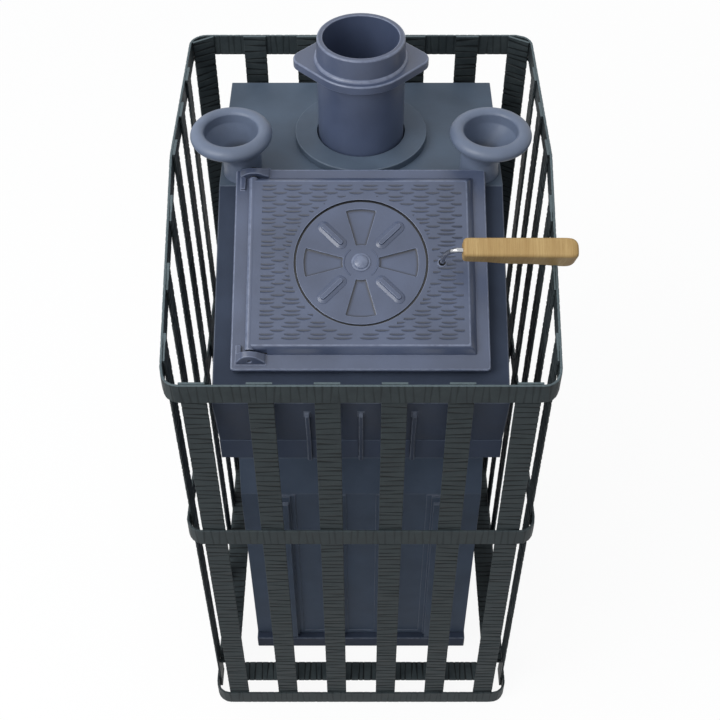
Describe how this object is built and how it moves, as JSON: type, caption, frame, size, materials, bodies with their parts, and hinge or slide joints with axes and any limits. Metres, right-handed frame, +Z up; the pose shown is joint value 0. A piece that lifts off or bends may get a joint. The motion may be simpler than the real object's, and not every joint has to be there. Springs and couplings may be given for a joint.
{
  "type": "wood-burning sauna stove",
  "caption": "Cast iron sauna stove in a steel strip cage for stones, with a sloping closed stone heater, flue socket, water funnels, latched doors, a rear fuel tunnel and an ash drawer.",
  "frame": {"origin": "on the floor, at the middle of the cage's footprint", "axes": "+Z up, -Y towards the sauna side with the sloping heater door, +X to the right seen from that side"},
  "size_m": [0.6045, 0.9063, 1.24],
  "materials": {
    "cage_steel": "satin dark grey, lightly hammered",
    "cast_iron": "blue-grey heat-resistant paint on fine sand-cast iron",
    "dark_iron": "bare dark casting",
    "rope": "woven glass-fibre sealing rope",
    "steel": "plain zinc-plated steel",
    "bright_rod": "polished",
    "wood": "clear-oiled light hardwood"
  },
  "bodies": {
    "stove": {"cage_top_ring": "cage_steel", "cage_mid_ring": "cage_steel", "cage_bottom_ring": "cage_steel", "cage_front_bars": "cage_steel", "cage_left_bars": "cage_steel", "cage_right_bars": "cage_steel", "cage_back_bars": "cage_steel", "cage_left_corner_bar": "cage_steel", "cage_right_corner_bar": "cage_steel", "cage_shelf_front": "cage_steel", "cage_shelf_left": "cage_steel", "cage_shelf_right": "cage_steel", "cage_left_tie": "cage_steel", "cage_right_tie": "cage_steel", "base_plate": "cast_iron", "front_left_foot": "dark_iron", "front_right_foot": "dark_iron", "rear_left_foot": "dark_iron", "rear_right_foot": "dark_iron", "base_seal": "rope", "firebox_casting": "cast_iron", "hearth_plate": "dark_iron", "fire_grate": "dark_iron", "flame_baffle": "dark_iron", "heater_housing": "cast_iron", "top_plate": "cast_iron", "stone_hopper": "dark_iron", "left_steam_duct": "dark_iron", "right_steam_duct": "dark_iron", "left_steam_funnel": "cast_iron", "right_steam_funnel": "cast_iron", "flue_base_ring": "cast_iron", "flue_pipe": "cast_iron", "flue_collar": "cast_iron", "heater_door_frame": "cast_iron", "heater_door_seal": "rope", "heater_hinge_pin": "steel", "fuel_tunnel": "cast_iron", "tunnel_bolts": "steel", "fire_door_frame": "cast_iron", "fire_door_seal": "rope", "fire_hinge_pin": "steel"},
    "heater_door": {"heater_door": "cast_iron", "disc_rivet": "cast_iron"},
    "regulator": {"regulator_disc": "cast_iron"},
    "heater_latch": {"heater_latch_rod": "bright_rod", "heater_latch_grip": "wood", "heater_latch_cam": "steel"},
    "fire_door": {"fire_door": "cast_iron"},
    "fire_latch": {"fire_latch_rod": "bright_rod", "fire_latch_grip": "wood", "fire_latch_cam": "steel"},
    "ash_drawer": {"ash_drawer": "dark_iron", "ash_drawer_handle": "bright_rod"}
  },
  "joints": [
    {"name": "heater_door_hinge", "type": "hinge", "parent": "stove", "child": "heater_door", "pos_m": [-0.165, -0.13003, 1.01465], "axis": [0, -0.8942, -0.4478], "range_deg": [0, 105]},
    {"name": "heater_latch_turn", "type": "hinge", "parent": "heater_door", "child": "heater_latch", "pos_m": [0.122, -0.13035, 1.02198], "axis": [0, -0.4478, 0.8942], "range_deg": [-60, 0]},
    {"name": "regulator_turn", "type": "hinge", "parent": "heater_door", "child": "regulator", "pos_m": [0, -0.12766, 1.01885], "axis": [0, -0.4478, 0.8942], "range_deg": [0, 45]},
    {"name": "fire_door_hinge", "type": "hinge", "parent": "stove", "child": "fire_door", "pos_m": [0.1425, 0.4873, 0.317], "axis": [0, 0, -1], "range_deg": [0, 110]},
    {"name": "fire_latch_turn", "type": "hinge", "parent": "fire_door", "child": "fire_latch", "pos_m": [-0.0995, 0.494, 0.315], "axis": [0, 1, 0], "range_deg": [-60, 0]},
    {"name": "ash_drawer_slide", "type": "slide", "parent": "stove", "child": "ash_drawer", "axis": [0, 1, 0], "range_m": [0, 0.45]}
  ]
}
